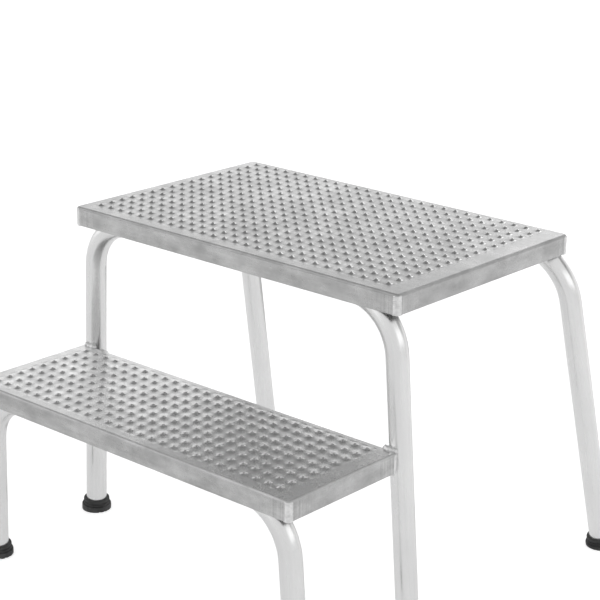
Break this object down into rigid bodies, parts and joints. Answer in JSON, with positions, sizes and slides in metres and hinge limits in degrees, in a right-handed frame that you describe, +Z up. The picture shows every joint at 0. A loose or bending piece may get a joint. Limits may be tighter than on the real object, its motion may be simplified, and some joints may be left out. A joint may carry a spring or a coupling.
{
  "type": "platform steps",
  "caption": "Free-standing welded platform steps: a low tread and a larger raised platform, both dimpled sheet trays, on bent round-tube legs with rubber feet.",
  "frame": {"origin": "On the floor, in the middle of the space that the steps take up", "axes": "+X along the treads, to the right of someone who climbs; +Y from the lower tread to the platform; +Z up"},
  "size_m": [0.6968, 0.6564, 0.4775],
  "materials": {
    "tread_sheet": "mill finish, embossed with raised dimples",
    "rib_sheet": "mill finish",
    "tube": "drawn tube, satin",
    "weld": "rippled weld bead, brushed",
    "foot_rubber": "moulded, matt"
  },
  "bodies": {
    "root": {"crossbar_stitches": "weld", "crossbar_welds": "weld", "front_bow": "tube", "front_bow_welds": "weld", "front_left_foot": "foot_rubber", "front_right_foot": "foot_rubber", "lower_corner_welds": "weld", "lower_rib_left": "rib_sheet", "lower_rib_right": "rib_sheet", "lower_tread": "tread_sheet", "middle_bow": "tube", "middle_bow_welds": "weld", "middle_crossbar": "tube", "middle_left_foot": "foot_rubber", "middle_right_foot": "foot_rubber", "platform_corner_welds": "weld", "platform_rib_left": "rib_sheet", "platform_rib_right": "rib_sheet", "platform_tread": "tread_sheet", "rear_bow": "tube", "rear_bow_welds": "weld", "rear_left_foot": "foot_rubber", "rear_right_foot": "foot_rubber", "tread_to_leg_welds": "weld"}
  },
  "joints": []
}
